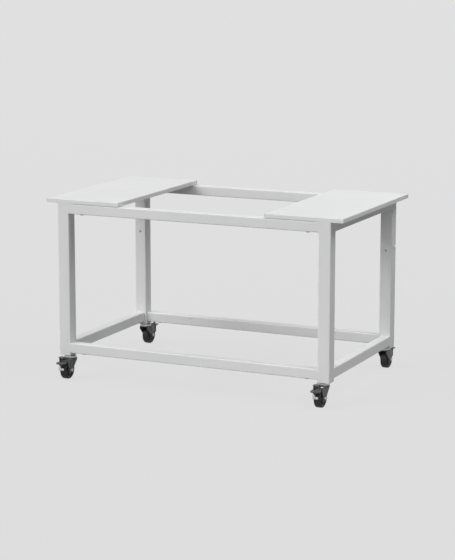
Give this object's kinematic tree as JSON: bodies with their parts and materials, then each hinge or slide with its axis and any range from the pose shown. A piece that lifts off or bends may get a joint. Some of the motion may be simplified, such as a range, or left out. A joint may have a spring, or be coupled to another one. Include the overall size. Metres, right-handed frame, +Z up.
{
  "type": "mobile work stand",
  "caption": "Square tube work stand on braked swivel casters, with a folded steel panel at each end of the top and an open bay between them.",
  "frame": {"origin": "on the floor, under the middle of the stand", "axes": "+X to the right along the width, +Y to the rear, +Z up; the picture looks from the front right"},
  "size_m": [1.27, 0.8408, 0.7285],
  "materials": {
    "frame_coat": "satin powder coat",
    "plain_steel": "plain",
    "zinc": "bright zinc",
    "caster_steel": "dark coat",
    "hub": "moulded",
    "tyre": "dull rubber"
  },
  "bodies": {
    "frame": {"leg_front_left": "frame_coat", "leg_front_right": "frame_coat", "leg_rear_left": "frame_coat", "leg_rear_right": "frame_coat", "rail_top_front": "frame_coat", "rail_top_rear": "frame_coat", "rail_top_left": "frame_coat", "rail_top_right": "frame_coat", "rail_bottom_front": "frame_coat", "rail_bottom_rear": "frame_coat", "rail_bottom_left": "frame_coat", "rail_bottom_right": "frame_coat", "rail_stubs": "plain_steel", "leg_cap_plates": "frame_coat", "panel_left": "frame_coat", "panel_right": "frame_coat", "panel_channels": "frame_coat", "panel_screws": "zinc", "panel_weld_nuts": "zinc", "rail_bolts": "zinc", "rail_weld_nuts": "zinc", "side_studs": "zinc", "threaded_inserts": "zinc", "swivel_balls": "plain_steel", "stem_front_left": "zinc", "race_front_left": "zinc", "stem_front_right": "zinc", "race_front_right": "zinc", "stem_rear_left": "zinc", "race_rear_left": "zinc", "stem_rear_right": "zinc", "race_rear_right": "zinc"},
    "fork_front_left": {"fork_front_left": "caster_steel", "pins_front_left": "zinc"},
    "wheel_front_left": {"tyre_front_left": "tyre", "hub_front_left": "hub", "bearings_front_left": "plain_steel"},
    "pedal_front_left": {"pedal_front_left": "caster_steel", "brake_plate_front_left": "zinc"},
    "fork_front_right": {"fork_front_right": "caster_steel", "pins_front_right": "zinc"},
    "wheel_front_right": {"tyre_front_right": "tyre", "hub_front_right": "hub", "bearings_front_right": "plain_steel"},
    "pedal_front_right": {"pedal_front_right": "caster_steel", "brake_plate_front_right": "zinc"},
    "fork_rear_left": {"fork_rear_left": "caster_steel", "pins_rear_left": "zinc"},
    "wheel_rear_left": {"tyre_rear_left": "tyre", "hub_rear_left": "hub", "bearings_rear_left": "plain_steel"},
    "pedal_rear_left": {"pedal_rear_left": "caster_steel", "brake_plate_rear_left": "zinc"},
    "fork_rear_right": {"fork_rear_right": "caster_steel", "pins_rear_right": "zinc"},
    "wheel_rear_right": {"tyre_rear_right": "tyre", "hub_rear_right": "hub", "bearings_rear_right": "plain_steel"},
    "pedal_rear_right": {"pedal_rear_right": "caster_steel", "brake_plate_rear_right": "zinc"}
  },
  "joints": [
    {"name": "swivel_front_left", "type": "hinge", "parent": "frame", "child": "fork_front_left", "pos_m": [-0.55, -0.331, 0.086], "axis": [0, 0, 1], "continuous": true},
    {"name": "roll_front_left", "type": "hinge", "parent": "fork_front_left", "child": "wheel_front_left", "pos_m": [-0.55, -0.359, 0.0375], "axis": [1, 0, 0], "continuous": true},
    {"name": "brake_front_left", "type": "hinge", "parent": "fork_front_left", "child": "pedal_front_left", "pos_m": [-0.55, -0.38138, 0.07626], "axis": [1, 0, 0], "range_deg": [0, 8]},
    {"name": "swivel_front_right", "type": "hinge", "parent": "frame", "child": "fork_front_right", "pos_m": [0.55, -0.331, 0.086], "axis": [0, 0, 1], "continuous": true},
    {"name": "roll_front_right", "type": "hinge", "parent": "fork_front_right", "child": "wheel_front_right", "pos_m": [0.55, -0.359, 0.0375], "axis": [1, 0, 0], "continuous": true},
    {"name": "brake_front_right", "type": "hinge", "parent": "fork_front_right", "child": "pedal_front_right", "pos_m": [0.55, -0.38138, 0.07626], "axis": [1, 0, 0], "range_deg": [0, 8]},
    {"name": "swivel_rear_left", "type": "hinge", "parent": "frame", "child": "fork_rear_left", "pos_m": [-0.55, 0.331, 0.086], "axis": [0, 0, 1], "continuous": true},
    {"name": "roll_rear_left", "type": "hinge", "parent": "fork_rear_left", "child": "wheel_rear_left", "pos_m": [-0.55, 0.359, 0.0375], "axis": [1, 0, 0], "continuous": true},
    {"name": "brake_rear_left", "type": "hinge", "parent": "fork_rear_left", "child": "pedal_rear_left", "pos_m": [-0.55, 0.38138, 0.07626], "axis": [-1, 0, 0], "range_deg": [0, 8]},
    {"name": "swivel_rear_right", "type": "hinge", "parent": "frame", "child": "fork_rear_right", "pos_m": [0.55, 0.331, 0.086], "axis": [0, 0, 1], "continuous": true},
    {"name": "roll_rear_right", "type": "hinge", "parent": "fork_rear_right", "child": "wheel_rear_right", "pos_m": [0.55, 0.359, 0.0375], "axis": [1, 0, 0], "continuous": true},
    {"name": "brake_rear_right", "type": "hinge", "parent": "fork_rear_right", "child": "pedal_rear_right", "pos_m": [0.55, 0.38138, 0.07626], "axis": [-1, 0, 0], "range_deg": [0, 8]}
  ]
}
